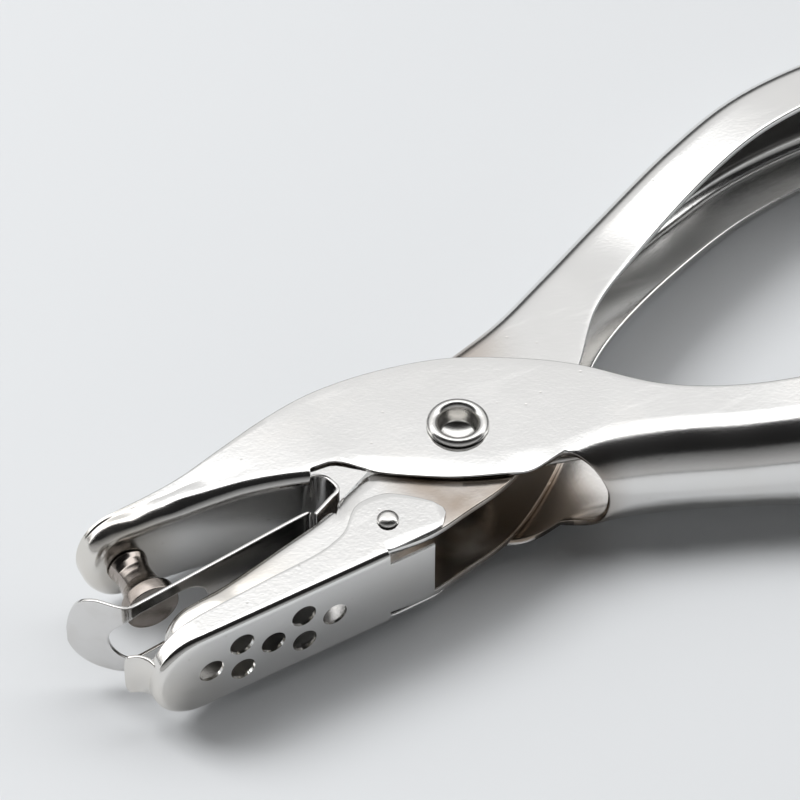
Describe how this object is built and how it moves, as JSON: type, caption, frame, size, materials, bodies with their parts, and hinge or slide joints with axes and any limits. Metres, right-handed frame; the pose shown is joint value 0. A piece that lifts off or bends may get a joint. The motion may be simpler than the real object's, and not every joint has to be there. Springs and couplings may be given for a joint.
{
  "type": "single hole paper punch",
  "caption": "Plier-type hole punch: two pressed steel channel levers on a rivet, a punch pin, a leaf stripper and a hinged perforated chip tray.",
  "frame": {"origin": "on the pivot axis, at the flat of the pivot rivet's factory head, which the tool lies on", "axes": "+X from the jaws to the handles, +Y from the die jaw to the punch jaw, +Z across the tool's width, upwards as it lies"},
  "size_m": [0.1302, 0.0581, 0.0145],
  "materials": {
    "lever_plate": "bright nickel plate on pressed steel sheet",
    "tool_steel": "hardened steel, oil darkened, polished on the waist",
    "spring_steel": "bright rolled spring strip",
    "rivet_plate": "nickel plated rivet",
    "spring_wire": "drawn spring wire",
    "tray_plate": "bright nickel plate on thin pressed sheet"
  },
  "bodies": {
    "die_side": {"die_lever": "lever_plate", "pivot_rivet": "rivet_plate", "torsion_spring": "spring_wire", "tray_rivet_near": "rivet_plate", "tray_rivet_far": "rivet_plate"},
    "punch_side": {"punch_lever": "lever_plate", "punch_pin": "tool_steel", "stripper_hairpin": "spring_steel"},
    "stripper": {"stripper_arm": "spring_steel"},
    "tray": {"chip_tray": "tray_plate"}
  },
  "joints": [
    {"name": "lever_pivot", "type": "hinge", "parent": "die_side", "child": "punch_side", "pos_m": [0, 0, 0.0073], "axis": [0, 0, 1], "range_deg": [0, 9.2], "stiffness_Nm_per_rad": 0.6, "springref_deg": -20.05, "deforming": ["torsion_spring", "stripper_hairpin"]},
    {"name": "stripper_flex", "type": "hinge", "parent": "die_side", "child": "stripper", "pos_m": [-0.0183, -0.00305, 0.0073], "axis": [0, 0, 1], "range_deg": [0, 5.6]},
    {"name": "tray_hinge", "type": "hinge", "parent": "die_side", "child": "tray", "pos_m": [-0.0122, -0.0079, 0.0073], "axis": [0, 0, 1], "range_deg": [0, 28]}
  ],
  "couplings": [
    {"joint": "stripper_flex", "follows": "lever_pivot", "ratio": 0.6}
  ]
}
